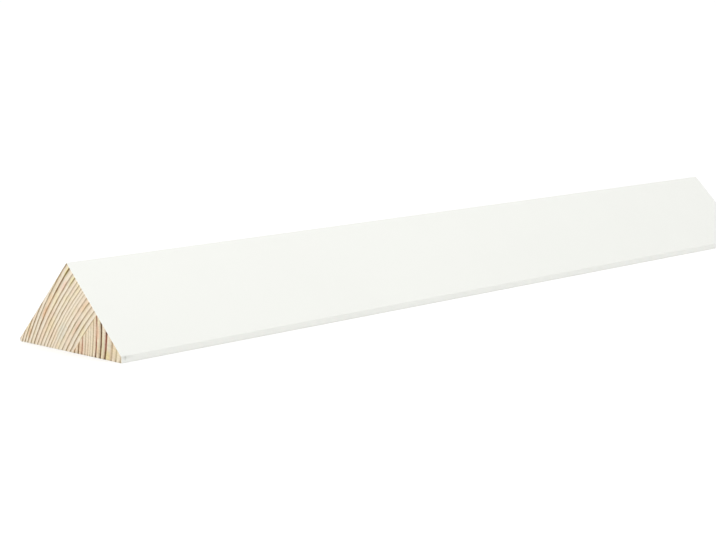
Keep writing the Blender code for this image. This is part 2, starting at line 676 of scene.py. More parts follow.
    def surface(self, add: AddNode, shader: bpy.types.Node, place: Source, strength: Source) -> None:
        """Sets the shader's roughness and its finest relief.

        Args:
            add: Adds nodes to the material's tree.
            shader: The Principled shader.
            place: Object coordinates.
            strength: How much latewood there is.
        """
        smoother, rougher = self.roughness
        rough = add("ShaderNodeMapRange", (strength, 0.0, 1.0, rougher, smoother))
        fibres = {"Vector": place, "Scale": 1.0 / (self.fibre_mm * MM), "Detail": 3.0}
        height = add("ShaderNodeTexNoise", fibres)
        relief = {"Height": height, "Strength": self.fibre_bump, "Distance": self.fibre_height_mm * MM}
        feed(shader, {"Roughness": rough, "Normal": add("ShaderNodeBump", relief)})


@dataclass(frozen=True)
class Nick:
    """A small dent on the right land beside the near end, with painted shade: a grey spot in it and a grey
    band along the arris beside it.
    """

    from_end_mm: float = 1.25
    below_arris_mm: float = 0.35
    radius_mm: float = 0.8
    depth_mm: float = 0.05
    # grey of every painted shade on the paint: in the nick, along the arris beside it and along the bottom
    painted_shade: str = "#A8A89E"
    strength: float = 0.6
    blot_mm: float = 0.5  # spacing of the bays in the edge of the painted shade in the nick
    blot_reach: tuple[float, float] = (0.5, 1.5)  # how far the painted shade in the nick reaches, in radii
    arris_shade_mm: tuple[float, float] = (3.6, 0.7)  # reach of the painted shade along the bar, and across the arris
    arris_shade_core: float = 0.1  # share of its reach that has the full strength
    arris_shade: float = 0.2  # strength of the painted shade along the arris


@dataclass(frozen=True)
class SatinPaint:
    """Sprayed satin acrylic paint: an even, slightly warm white with a faint sheen over the raised grain."""

    nick: Nick
    nick_place: tuple[float, float, float]  # in the bar's frame, in metres
    white: str = "#EAEBE6"
    shade: str = "#E9EAE5"
    cloud_mm: float = 28.0  # spacing of the patches where the shade turns
    cloud_span: tuple[float, float] = (0.35, 0.65)
    roughness: tuple[float, float] = (0.40, 0.48)
    ior: float = 1.49
    gloss: float = 0.25  # matting agent and grain scatter most of the reflection
    peel_mm: float = 1.1  # spacing of the orange peel that spraying leaves
    peel_height_mm: float = 0.004
    grain_mm: float = 0.7  # spacing of the raised grain, across the bar
    grain_length_mm: float = 45.0
    grain_height_mm: float = 0.006
    contact_shade_mm: float = 0.5  # height below which the paint is greyed as painted contact shade, on the lower arrises and the base
    # strength of the painted contact shade
    contact_shade: float = 0.12

    def material(self) -> bpy.types.Material:
        """Builds the node material from object coordinates.

        Returns:
            The finished material.
        """
        material, add, shader = new_material("satin_acrylic_paint")
        place = add("ShaderNodeTexCoord").outputs["Object"]
        pattern = {"Vector": place, "Scale": 1.0 / (self.cloud_mm * MM), "Detail": 2.0}
        clouds = add("ShaderNodeTexNoise", pattern)
        cloud = add("ShaderNodeMapRange", (clouds, *self.cloud_span, 0.0, 1.0))
        colour = add("ShaderNodeMix", (cloud, linear(self.white), linear(self.shade)), data_type="RGBA")
        peel = add("ShaderNodeTexNoise", {"Vector": place, "Scale": 1.0 / (self.peel_mm * MM), "Detail": 1.0})
        relief = {"Height": peel, "Strength": 1.0, "Distance": self.peel_height_mm * MM}
        sprayed = add("ShaderNodeBump", relief)
        across = 1.0 / (self.grain_mm * MM)
        scale = (1.0 / (self.grain_length_mm * MM), across, across)
        grain_place = add("ShaderNodeVectorMath", (place, scale), operation="MULTIPLY")
        raised = add("ShaderNodeTexNoise", {"Vector": grain_place, "Scale": 1.0, "Detail": 2.0})
        relief = {"Height": raised, "Strength": 1.0, "Distance": self.grain_height_mm * MM, "Normal": sprayed}
        finish = {
            "Base Color": self.add_painted_shade(add, place, colour),
            "Roughness": add("ShaderNodeMapRange", (clouds, *NOISE_SPAN, *self.roughness)),
            "Normal": add("ShaderNodeBump", relief),
            "IOR": self.ior,
            "Specular IOR Level": self.gloss,
        }
        feed(shader, finish)
        return material

    def add_painted_shade(self, add: AddNode, place: Source, paint: Source) -> Source:
        """Greys the paint as painted shade: in the nick, along the arris beside it, and along the lower
        arrises and the base.

        Args:
            add: Adds nodes to the material's tree.
            place: Object coordinates.
            paint: The clean paint's colour.

        Returns:
            The colour with the painted shade on it.
        """
        nick = self.nick
        offset = add("ShaderNodeVectorMath", (place, self.nick_place), operation="SUBTRACT")
        distance = add("ShaderNodeVectorMath", (offset,), operation="LENGTH")
        # painted shade in the nick: a grey spot with an uneven edge
        pattern = {"Vector": place, "Scale": 1.0 / (nick.blot_mm * MM), "Detail": 2.0}
        blots = add("ShaderNodeTexNoise", pattern)
        least, greatest = (share * nick.radius_mm * MM for share in nick.blot_reach)
        edge = add("ShaderNodeMapRange", (blots, *NOISE_SPAN, least, greatest))
        fade = (distance, edge, 0.0, 0.0, nick.strength)
        spot = add("ShaderNodeMapRange", fade, interpolation_type="SMOOTHSTEP")
        # painted shade along the land's top arris, beside the nick
        along, across = (1.0 / (span * MM) for span in nick.arris_shade_mm)
        spread = add("ShaderNodeVectorMath", (offset, (along, across, across)), operation="MULTIPLY")
        from_spot = add("ShaderNodeVectorMath", (spread,), operation="LENGTH")
        fade = (from_spot, 1.0, nick.arris_shade_core, 0.0, nick.arris_shade)
        arris_shade = add("ShaderNodeMapRange", fade, interpolation_type="SMOOTHSTEP")
        # painted contact shade: greyer towards the bottom, where the bar meets the floor
        height = add("ShaderNodeSeparateXYZ", (place,)).outputs["Z"]
        fade = (height, self.contact_shade_mm * MM, 0.0, 0.0, self.contact_shade)
        contact_shade = add("ShaderNodeMapRange", fade, interpolation_type="SMOOTHSTEP")
        painted_shade = add("ShaderNodeMath", (spot, arris_shade), operation="MAXIMUM")
        painted_shade = add("ShaderNodeMath", (painted_shade, contact_shade), operation="MAXIMUM")
        return add("ShaderNodeMix", (painted_shade, paint, linear(nick.painted_shade)), data_type="RGBA")


@dataclass(frozen=True)
class MottledFinish:
    """A thin layer that shows in the sawn end, in two close shades that change from spot to spot."""

    name: str
    shades: tuple[str, str]
    spot_mm: float
    roughness: float
    ior: float

    def material(self) -> bpy.types.Material:
        """Builds the node material from object coordinates.

        Returns:
            The finished material.
        """
        material, add, shader = new_material(self.name)
        place = add("ShaderNodeTexCoord").outputs["Object"]
        pattern = {"Vector": place, "Scale": 1.0 / (self.spot_mm * MM), "Detail": 2.0}
        spots = add("ShaderNodeTexNoise", pattern)
        colour = add("ShaderNodeMix", (spots, *map(linear, self.shades)), data_type="RGBA")
        feed(shader, {"Base Color": colour, "Roughness": self.roughness, "IOR": self.ior})
        return material


# The coat where the saw went through it: bright, chalky filler without any sheen
CUT_PAINT = MottledFinish("sawn_paint_edge", ("#F7F7F2", "#EFEFE8"), spot_mm=0.3, roughness=0.8, ior=1.5)

# Dried white wood glue: a pale amber, slightly glossy film in the joint
DRIED_GLUE = MottledFinish("dried_wood_glue", ("#D9BF93", "#E6D3AE"), spot_mm=1.3, roughness=0.45, ior=1.47)


@dataclass(frozen=True)
class LightTable:
    """Opal acrylic lit from below: pure white around the bar, with next to no contact shadow."""

    opal: str = "#BEBEBE"
    glow: float = 0.66  # away from the bar, where the softboxes hardly reach
    glow_at_bar: float = 0.50
    glow_reach: tuple[float, float] = (0.25, 0.9)  # metres from the bar over which the glow rises
    roughness: tuple[float, float] = (0.85, 0.95)
    haze_mm: float = 2.0  # spacing of the cloudy spots in the acrylic's sheen

    def material(self) -> bpy.types.Material:
        """Builds the floor's node material.

        Returns:
            The finished material.
        """
        material, add, shader = new_material("opal_light_table")
        place = add("ShaderNodeTexCoord").outputs["Object"]
        haze = add("ShaderNodeTexNoise", {"Vector": place, "Scale": 1.0 / (self.haze_mm * MM), "Detail": 2.0})
        distance = add("ShaderNodeVectorMath", (place,), operation="LENGTH")
        rise = (distance, *self.glow_reach, self.glow_at_bar, self.glow)
        finish = {
            "Base Color": linear(self.opal),
            "Roughness": add("ShaderNodeMapRange", (haze, 0.0, 1.0, *self.roughness)),
            "Emission Color": WHITE,
            "Emission Strength": add("ShaderNodeMapRange", rise, interpolation_type="SMOOTHSTEP"),
        }
        feed(shader, finish)
        return material


@dataclass(frozen=True)
class BakeLayout:
    """Where the bake map holds the sawn ends, one above the other, and the long sides in a strip on top."""

    width: float = 0.94
    height_share: float = 0.9  # of the height that an end would have at that width
    near_start: float = 0.02
    far_start: float = 0.51
    strip_start: float = 0.985
    strip_height: float = 0.014


@dataclass
class SectionSlice:
    """A closed length of the section between two depths, with dense sawn ends.

    Each end is a grid: its rows run parallel to the left leg, and its columns fan out between the right leg
    and the base. Subclasses say how far the saw cut is from flat and what each point's growth map holds.
    """

    name: str
    section: Section
    depths: tuple[float, float]
    rows: int
    columns: int
    end_recess: float = 0.14 * MM
    side_steps: int = 6
    layout: BakeLayout = BakeLayout()

    def relief(self, point: Vector, end: BarEnd) -> float:
        """How far the sawn surface stands proud of its flat plane; a plain slice has none."""
        return 0.0

    def growth_at(self, point: Vector, along: float) -> tuple[float, float]:
        """The growth map's value; a plain slice has the same one all over."""
        return (0.0, 0.0)

    def end_points(self) -> list[Vector]:
        """Lays the grid of one end out in the YZ plane.

        Returns:
            The grid's points, row by row.
        """
        points = []
        for row in range(self.rows + 1):
            depth = self.depths[0] + (self.depths[1] - self.depths[0]) * row / self.rows
            least, greatest = self.section.chord(depth)
            for column in range(self.columns + 1):
                reach = least + (greatest - least) * column / self.columns
                points.append(self.section.place(depth, reach))
        return points

    def rim(self) -> list[int]:
        """Goes once round the edge of an end's grid.

        Returns:
            Numbers of the grid points there, in order.
        """
        width = self.columns + 1
        top = list(range(width))
        side = [row * width + self.columns for row in range(1, self.rows + 1)]
        bottom = [self.rows * width + column for column in range(self.columns - 1, -1, -1)]
        back = [row * width for row in range(self.rows - 1, 0, -1)]
        return top + side + bottom + back

    def build(self) -> bpy.types.Object:
        """Builds the closed mesh with its growth and bake maps.

        Returns:
            The slice as an object at the origin.
        """
        mesh = bmesh.new()
        growth = mesh.loops.layers.uv.new(GROWTH_MAP)
        bake = mesh.loops.layers.uv.new(BAKE_MAP)
        points = self.end_points()
        rim = self.rim()
        half = self.section.half_length - self.end_recess
        grown: dict[bmesh.types.BMVert, tuple[float, float]] = {}
        ends: dict[BarEnd, list[bmesh.types.BMVert]] = {}
        for end in BarEnd:
            ends[end] = []
            for point in points:
                x = end.value * (half + self.relief(point, end))
                vertex = mesh.verts.new((x, point.x, point.y))
                grown[vertex] = self.growth_at(point, 0.5 + 0.5 * end.value)
                ends[end].append(vertex)
            self.add_grid(mesh, ends[end], bake, end)
        rings = [[ends[BarEnd.NEAR][i] for i in rim]]
        for step in range(1, self.side_steps):
            along = step / self.side_steps
            ring = []
            for number in rim:
                point = points[number]
                vertex = mesh.verts.new((half * (2.0 * along - 1.0), point.x, point.y))
                grown[vertex] = self.growth_at(point, along)
                ring.append(vertex)
            rings.append(ring)
        rings.append([ends[BarEnd.FAR][i] for i in rim])
        self.add_sides(mesh, rings, bake)
        for face in mesh.faces:
            face.smooth = True
            for loop in face.loops:
                loop[growth].uv = grown[loop.vert]
        bmesh.ops.recalc_face_normals(mesh, faces=mesh.faces)
        return self.as_object(mesh)

    def add_grid(
        self,
        mesh: bmesh.types.BMesh,
        vertices: Sequence[bmesh.types.BMVert],
        bake: bmesh.types.BMLayerItem,
        end: BarEnd,
    ) -> None:
        """Adds one end's faces, laid flat on its half of the bake map.

        Args:
            mesh: The mesh being built.
            vertices: The end's vertices, row by row.
            bake: The bake map's layer.
            end: Which end it is.
        """
        width = self.columns + 1
        start = self.layout.near_start if end is BarEnd.NEAR else self.layout.far_start
        scale = self.layout.width / (2.0 * max(abs(point.x) for point in self.section.outline))
        for row in range(self.rows):
            for column in range(self.columns):
                corner = row * width + column
                numbers = (corner, corner + 1, corner + width + 1, corner + width)
                face = mesh.faces.new([vertices[i] for i in numbers])
                for loop in face.loops:
                    across = loop.vert.co.y * scale
                    height = loop.vert.co.z * scale * self.layout.height_share
                    loop[bake].uv = (0.5 + across, start + height)

    def add_sides(
        self,
        mesh: bmesh.types.BMesh,
        rings: Sequence[Sequence[bmesh.types.BMVert]],
        bake: bmesh.types.BMLayerItem,
    ) -> None:
        """Adds the long sides between the ends, in the strip that is left of the bake map.

        Args:
            mesh: The mesh being built.
            rings: Rings of vertices from the near end to the far one.
            bake: The bake map's layer.
        """
        count = len(rings[0])
        for step, (ring, further) in enumerate(zip(rings, rings[1:])):
            for i in range(count):
                after = (i + 1) % count
                face = mesh.faces.new((ring[i], ring[after], further[after], further[i]))
                low, high = step / len(rings), (step + 1) / len(rings)
                corners = ((i, low), (i + 1, low), (i + 1, high), (i, high))
                for loop, (place, rise) in zip(face.loops, corners):
                    height = self.layout.strip_start + self.layout.strip_height * rise
                    loop[bake].uv = (place / count, height)

    def as_object(self, mesh: bmesh.types.BMesh) -> bpy.types.Object:
        """Turns the finished mesh into an object of the scene, with its sawn arrises kept sharp.

        Args:
            mesh: The finished mesh, which is freed.

        Returns:
            The object.
        """
        data = bpy.data.meshes.new(self.name)
        mesh.to_mesh(data)
        mesh.free()
        data.set_sharp_from_angle(angle=SHARP_ANGLE)
        return add_object(self.name, data)


@dataclass
class Stave(SectionSlice):
    """One pine stave: year rings, latewood that stands proud, saw marks and torn fibres along the base.

    Lengths over which the relief changes are in millimetres, and its seeds set one kind apart from the next.
    """

    growth: Growth | None = None
    ridge_mm: float = 0.016  # latewood is harder, so the saw leaves it proud
    saw_mark_mm: float = 0.012
    saw_pitch_mm: float = 0.85
    saw_centre_mm: tuple[float, float] = (70.0, -140.0)  # of the blade, in the YZ plane
    wander: float = 0.35  # how far the saw marks stray, in pitches
    wander_length: float = 6.0
    wander_seed: float = 40.0
    grit_mm: float = 0.02
    grit_length: float = 0.45
    grit_seed: float = 50.0
    torn_mm: float = 0.10
    torn_reach_mm: float = 0.45
    torn_share: float = 0.5  # of the strip along the base
    torn_length: float = 0.6
    torn_seed: float = 60.0

    def growth_at(self, point: Vector, along: float) -> tuple[float, float]:
        """The ring count and the millimetres along the ring at a place in the stave."""
        return self.growth.phase(point, along)

    def relief(self, point: Vector, end: BarEnd) -> float:
        """How far the sawn surface stands proud of its flat plane.

        Args:
            point: Place in the YZ plane.
            end: Which end it is.

        Returns:
            Metres outwards, from less than zero in torn spots to less than the end's recess.
        """
        y, z = point.x / MM, point.y / MM
        count, _ = self.growth_at(point, 0.5 + 0.5 * end.value)
        height = self.ridge_mm * self.growth.darkness(count)
        from_saw = math.hypot(y - end.value * self.saw_centre_mm[0], z - self.saw_centre_mm[1])
        wander = self.wander * smooth_noise(y, z, self.wander_length, self.wander_seed + end.value)
        height += self.saw_mark_mm * math.sin(2.0 * math.pi * (from_saw / self.saw_pitch_mm + wander))
        height += self.grit_mm * smooth_noise(y, z, self.grit_length, self.grit_seed + end.value)
        torn = self.torn_share + smooth_noise(y, z, self.torn_length, self.torn_seed + end.value)
        torn *= max(0.0, 1.0 - z / self.torn_reach_mm)
        return MM * (height - self.torn_mm * max(0.0, torn))


@dataclass
class PaintCoat:
    """The coat of paint over all long faces, a thin closed shell that the saw cut ragged at both ends.

    Its shape follows a rule, so Geometry Nodes sweep the section along the bar and give the surface its
    undulation, its rounded and ragged edge and the nick beside the near end. The coat is built up thick on
    the right leg, which is the one that shows, and thin elsewhere.
    """

    section: Section
    cut_finish: MottledFinish = CUT_PAINT
    nick: Nick = Nick()
    thickness: float = 0.17 * MM
    thin_share: float = 0.3  # of that thickness, away from the right leg
    column_spacing: float = 0.5 * MM
    rows: int = 150
    end_crowding: float = 0.44  # above zero, rows stand closer towards the ends
    undulation: float = 0.016 * MM
    undulation_length: float = 14.0 * MM
    ragged_depth: float = 0.16 * MM
    ragged_length: float = 0.8 * MM
    cut_falloff: float = 4.0 * MM
    rounding: float = 0.03 * MM
    rounding_reach: float = 0.6 * MM
    seed: float = 4.0

    @property
    def nick_place(self) -> tuple[float, float, float]:
        """The middle of the nick, on the right land.

        Returns:
            The place in the bar's frame, in metres.
        """
        arris = max(self.section.outline, key=LAND_ARRIS.dot)
        x = self.nick.from_end_mm * MM - self.section.half_length
        return (x, arris.x, arris.y - self.nick.below_arris_mm * MM)

    def outline_curve(self) -> bpy.types.Object:
        """The section's outline as a closed curve in its own XY plane, which the tree sweeps along the bar.

        Returns:
            A curve object at the origin.
        """
        points = self.section.divided_outline(self.column_spacing)
        curve = bpy.data.curves.new("coat_outline", "CURVE")
        curve.dimensions = "3D"
        spline = curve.splines.new("POLY")
        spline.points.add(len(points) - 1)
        for slot, point in zip(spline.points, points):
            slot.co = (-point.x, -point.y, 0.0, 1.0)  # along +X, a sweep turns the outline half round
        spline.use_cyclic_u = True
        return add_object("coat_outline", curve)

    def sizes(self) -> dict[str, object]:
        """Sizes of the coat as the tree takes them.

        Returns:
            The tree's named inputs with their values, apart from the outline and the paint.
        """
        return {
            "Half Length": self.section.half_length,
            "Rows": self.rows,
            "End Crowding": self.end_crowding,
            "Undulation": self.undulation,
            "Undulation Length": self.undulation_length,
            "Ragged Depth": self.ragged_depth,
            "Ragged Length": self.ragged_length,
            "Cut Falloff": self.cut_falloff,
            "Rounding": self.rounding,
            "Rounding Reach": self.rounding_reach,
            "Nick Depth": self.nick.depth_mm * MM,
            "Nick Radius": self.nick.radius_mm * MM,
            "Nick Centre": self.nick_place,
            "Seed": self.seed,
        }

    def tree(self) -> bpy.types.GeometryNodeTree:
        """Builds the Geometry Nodes tree that sweeps and roughens the coat.

        Returns:
            The tree, with a named input for each size.
        """
        tree = bpy.data.node_groups.new("painted_coat", "GeometryNodeTree")
        kinds = {int: "NodeSocketInt", float: "NodeSocketFloat", tuple: "NodeSocketVector"}
        inputs = {name: kinds[type(value)] for name, value in self.sizes().items()}
        for name, kind in {"Outline": "NodeSocketGeometry", **inputs, "Paint": "NodeSocketMaterial"}.items():
            tree.interface.new_socket(name, in_out="INPUT", socket_type=kind)
        tree.interface.new_socket("Coat", in_out="OUTPUT", socket_type="NodeSocketGeometry")
        add = partial(add_node, tree)
        given = add("NodeGroupInput").outputs

        swept = self.sweep(add, given)
        moved = self.undulate(add, given, swept)
        cut = self.roughen_cut(add, given, moved)
        smooth = add("GeometryNodeSetShadeSmooth", {"Geometry": cut})
        real = add("GeometryNodeRealizeInstances", {"Geometry": smooth})
        painted = add("GeometryNodeSetMaterial", {"Geometry": real, "Material": given["Paint"]})
        add("NodeGroupOutput", {"Coat": painted})
        return tree

    def sweep(self, add: AddNode, given: bpy.types.bpy_prop_collection) -> Source:
        """Sweeps the outline along the bar, with rows that crowd towards the ends.

        Args:
            add: Adds nodes to the coat's tree.
            given: The tree's inputs.

        Returns:
            The swept mesh.
        """
        line = add("GeometryNodeCurvePrimitiveLine", {"Start": (-1.0, 0.0, 0.0), "End": (1.0, 0.0, 0.0)})
        rows = add("GeometryNodeResampleCurve", {"Curve": line, "Count": given["Rows"]})
        place = add("ShaderNodeSeparateXYZ", (add("GeometryNodeInputPosition"),)).outputs["X"]
        square = add("ShaderNodeMath", (place, place), operation="MULTIPLY")
        rest = add("ShaderNodeMath", (1.0, square), operation="SUBTRACT")
        gain = add("ShaderNodeMath", (rest, given["End Crowding"], 1.0), operation="MULTIPLY_ADD")
        share = add("ShaderNodeMath", (place, gain), operation="MULTIPLY")
        along = add("ShaderNodeMath", (share, given["Half Length"]), operation="MULTIPLY")
        spot = add("ShaderNodeCombineXYZ", (along,))
        path = add("GeometryNodeSetPosition", {"Geometry": rows, "Position": spot})
        return add("GeometryNodeCurveToMesh", {"Curve": path, "Profile Curve": given["Outline"]})

    def undulate(self, add: AddNode, given: bpy.types.bpy_prop_collection, mesh: Source) -> Source:
        """Sinks the surface here and there, as on a planed and painted face, at the cut and in the nick.

        Args:
            add: Adds nodes to the coat's tree.
            given: The tree's inputs.
            mesh: The swept mesh.

        Returns:
            The moved mesh.
        """
        place = add("GeometryNodeInputPosition")
        scale = add("ShaderNodeMath", (1.0, given["Undulation Length"]), operation="DIVIDE")
        pattern = {"Vector": place, "W": given["Seed"], "Scale": scale, "Detail": 1.0}
        waves = add("ShaderNodeTexNoise", pattern, noise_dimensions="4D")
        depth = add("ShaderNodeMath", (waves, given["Undulation"]), operation="MULTIPLY")
        along = add("ShaderNodeSeparateXYZ", (place,)).outputs["X"]
        from_middle = add("ShaderNodeMath", (along,), operation="ABSOLUTE")
        start = add("ShaderNodeMath", (given["Half Length"], given["Rounding Reach"]), operation="SUBTRACT")
        rounded = add("ShaderNodeMapRange", (from_middle, start, given["Half Length"]))
        curved = add("ShaderNodeMath", (rounded, 2.0), operation="POWER")
        depth = add("ShaderNodeMath", (curved, given["Rounding"], depth), operation="MULTIPLY_ADD")
        from_nick = add("ShaderNodeVectorMath", (place, given["Nick Centre"]), operation="DISTANCE")
        fade = (from_nick, 0.0, given["Nick Radius"], given["Nick Depth"], 0.0)
        nick = add("ShaderNodeMapRange", fade, interpolation_type="SMOOTHSTEP")
        depth = add("ShaderNodeMath", (depth, nick), operation="ADD")
        inwards = add("ShaderNodeMath", (depth, -1.0), operation="MULTIPLY")
        offset = add("ShaderNodeVectorMath", (add("GeometryNodeInputNormal"), inwards), operation="SCALE")
        return add("GeometryNodeSetPosition", {"Geometry": mesh, "Offset": offset})

    def roughen_cut(self, add: AddNode, given: bpy.types.bpy_prop_collection, mesh: Source) -> Source:
        """Pulls the coat back from the saw cut by uneven amounts.

        Args:
            add: Adds nodes to the coat's tree.
            given: The tree's inputs.
            mesh: The mesh to change.

        Returns:
            The moved mesh.
        """
        place = add("GeometryNodeInputPosition")
        along = add("ShaderNodeSeparateXYZ", (place,)).outputs["X"]
        outwards = add("ShaderNodeMath", (along,), operation="SIGN")
        distance = add("ShaderNodeMath", (along,), operation="ABSOLUTE")
        start = add("ShaderNodeMath", (given["Half Length"], given["Cut Falloff"]), operation="SUBTRACT")
        rise = (distance, start, given["Half Length"], 0.0, 1.0)
        near_cut = add("ShaderNodeMapRange", rise, interpolation_type="SMOOTHSTEP")
        scale = add("ShaderNodeMath", (1.0, given["Ragged Length"]), operation="DIVIDE")
        pattern = {"Vector": place, "W": given["Seed"], "Scale": scale, "Detail": 3.0, "Roughness": 0.7}
        ragged = add("ShaderNodeTexNoise", pattern, noise_dimensions="4D")
        pulled = add("ShaderNodeMath", (ragged, given["Ragged Depth"]), operation="MULTIPLY")
        back = add("ShaderNodeMath", (pulled, near_cut), operation="MULTIPLY")
        signed = add("ShaderNodeMath", (back, outwards), operation="MULTIPLY")
        shift = add("ShaderNodeMath", (signed, -1.0), operation="MULTIPLY")
        offset = add("ShaderNodeCombineXYZ", (shift,))
        return add("GeometryNodeSetPosition", {"Geometry": mesh, "Offset": offset})

    def build(self) -> bpy.types.Object:
        """Sweeps the coat, gives it its thickness and turns it into a plain mesh.

        Returns:
            The coat as an object at the origin.
        """
        outline = self.outline_curve()
        tree = self.tree()
        modifier = outline.modifiers.new("coat", "NODES")
        modifier.node_group = tree
        identifiers = {
            item.name: item.identifier
            for item in tree.interface.items_tree
            if item.item_type == "SOCKET" and item.in_out == "INPUT"
        }
        for name, value in self.sizes().items():
            modifier[identifiers[name]] = value
        modifier[identifiers["Paint"]] = SatinPaint(self.nick, self.nick_place).material()
        shell = add_object("paint_coat", evaluated_mesh(outline))
        bpy.data.objects.remove(outline, do_unlink=True)
        self.thicken(shell)
        return shell

    def thicken(self, shell: bpy.types.Object) -> None:
        """Gives the shell its wall, inwards, and lets its faces point out.

        Args:
            shell: The swept surface, which becomes a closed mesh.
        """
        mesh = bmesh.new()
        mesh.from_mesh(shell.data)
        bmesh.ops.recalc_face_normals(mesh, faces=mesh.faces)
        highest = max(mesh.faces, key=lambda face: face.calc_center_median().z)
        if highest.normal.z < 0.0:
            bmesh.ops.reverse_faces(mesh, faces=mesh.faces)
        mesh.to_mesh(shell.data)
        mesh.free()
        build_up = shell.vertex_groups.new(name="build_up")
        for vertex in shell.data.vertices:
            normal = Vector((vertex.normal.y, vertex.normal.z))
            build_up.add([vertex.index], right_leg_share(normal), "REPLACE")
        wall = shell.modifiers.new("wall", "SOLIDIFY")
        wall.thickness = self.thickness
        wall.vertex_group = build_up.name
        wall.thickness_vertex_group = self.thin_share
        wall.offset = -1.0
        shell.data.materials.append(self.cut_finish.material())
        wall.material_offset_rim = 1
        walled = evaluated_mesh(shell)
        walled.set_sharp_from_angle(angle=SHARP_ANGLE)
        shell.modifiers.clear()
        shell.data = walled


@dataclass(frozen=True)
class Softbox:
    """A large area light that shines on the bar."""

    name: str
    place: tuple[float, float, float]
    target: tuple[float, float, float]
    side: float
    watts: float

    def build(self) -> None:
        """Adds the light to the scene."""
        light = bpy.data.lights.new(self.name, "AREA")
        light.shape = "SQUARE"
        light.size = self.side
        light.energy = self.watts
        lamp = add_object(self.name, light)
        lamp.location = self.place
        lamp.rotation_euler = (Vector(self.target) - Vector(self.place)).to_track_quat("-Z", "Y").to_euler()


@dataclass
class Studio:
    """Camera, light and floor of the photograph: a bar on a light table in soft, even light."""

    table: LightTable
    camera_place: tuple[float, float, float] = (-0.38766, -0.34627, 0.08373)
    camera_turn: float = 45.334  # degrees to the right of +Y
    camera_dip: float = 8.637  # degrees down
    camera_roll: float = 0.742  # degrees, right side down
    lens_mm: float = 83.51
    sensor_mm: float = 36.0
    clip: tuple[float, float] = (0.01, 200.0)
    sky: float = 0.65
    softboxes: tuple[Softbox, ...] = (
        Softbox("overhead_softbox", (-0.07, -0.13, 0.75), (0.0, 0.0, 0.0), 0.7, 3.35),
        Softbox("end_softbox", (-1.2, 0.5, 0.25), (-0.143, 0.0, 0.01), 0.5, 3.1),
    )
    floor_side: float = 30.0
    floor_cells: int = 60
    floor_gap: float = 0.05 * MM  # between the floor and the base, so that the two don't mix
    cove_start: float = 9.0  # metres from the bar at which the floor begins to sweep up
    cove_rise: float = 1.6

    def build(self) -> None:
        """Sets the scene up round the bar."""
        scene = bpy.context.scene
        scene.view_settings.view_transform = "Standard"
        self.add_camera(scene)
        self.add_world(scene)
        for softbox in self.softboxes:
            softbox.build()
        self.add_floor()

    def add_camera(self, scene: bpy.types.Scene) -> None:
        """Adds the camera at the photograph's viewing angle.

        Args:
            scene: The scene that gets it.
        """
        data = bpy.data.cameras.new("camera")
        data.lens = self.lens_mm
        data.sensor_width = self.sensor_mm
        data.clip_start, data.clip_end = self.clip
        camera = add_object("camera", data)
        turn, dip = math.radians(self.camera_turn), math.radians(self.camera_dip)
        ahead = Vector((math.sin(turn) * math.cos(dip), math.cos(turn) * math.cos(dip), -math.sin(dip)))
        camera.location = self.camera_place
        roll = Quaternion(ahead, math.radians(self.camera_roll))
        camera.rotation_euler = (roll @ ahead.to_track_quat("-Z", "Y")).to_euler()
        scene.camera = camera

    def add_world(self, scene: bpy.types.Scene) -> None:
        """Adds the even white light of the studio's walls.

        Args:
            scene: The scene that gets it.
        """
        world = bpy.data.worlds.new("white_studio")
        world.use_nodes = True
        feed(world.node_tree.nodes["Background"], {"Color": WHITE, "Strength": self.sky})
        scene.world = world

    def add_floor(self) -> None:
        """Adds the white floor just under the bar, which sweeps up far behind it as a cove."""
        mesh = bmesh.new()
        half = self.floor_side / 2
        cells = self.floor_cells
        bmesh.ops.create_grid(mesh, x_segments=cells, y_segments=cells, size=half)
        for vertex in mesh.verts:
            beyond = max(0.0, vertex.co.length - self.cove_start) / (half - self.cove_start)
            vertex.co.z = self.cove_rise * beyond**2
        data = bpy.data.meshes.new("studio_floor")
        mesh.to_mesh(data)
        mesh.free()
        data.shade_smooth()
        data.materials.append(self.table.material())
        floor = add_object("studio_floor", data)
        floor.location.z = -self.floor_gap
        floor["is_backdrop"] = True


MAIN_GROWTH = Growth(
    pith_mm=(-63.2, -47.7),
    first_line_mm=77.66,
    middle_angle=38.0,
    bands=(
        GrowthBand(1, 1.4, LatewoodTone.TAUPE, 0.8),
        GrowthBand(2, 1.4, LatewoodTone.TAUPE, 0.9),
        GrowthBand(1, 1.35, LatewoodTone.TAUPE, 0.8),
        GrowthBand(1, 1.25, LatewoodTone.TAUPE, 0.75),
        GrowthBand(2, 0.9, LatewoodTone.STRAW, 0.75),
        GrowthBand(1, 1.1, LatewoodTone.STRAW, 0.85),
        GrowthBand(1, 1.1, LatewoodTone.TAUPE, 0.95),
        GrowthBand(1, 1.3, LatewoodTone.TAUPE, 0.75),
        GrowthBand(1, 1.2, LatewoodTone.TAUPE, 0.95),
        GrowthBand(1, 1.6, LatewoodTone.TAUPE, 0.85, widening_mm=2.2),
        GrowthBand(1, 1.4, LatewoodTone.BROWN, 0.95, widening_mm=0.9),
        GrowthBand(1, 1.2, LatewoodTone.TAUPE, 0.95, widening_mm=-0.6),
        GrowthBand(3, 1.1, LatewoodTone.TAUPE, 1.1),
        GrowthBand(3, 1.1, LatewoodTone.TAUPE, 0.95),
    ),
    seed=11.0,
)

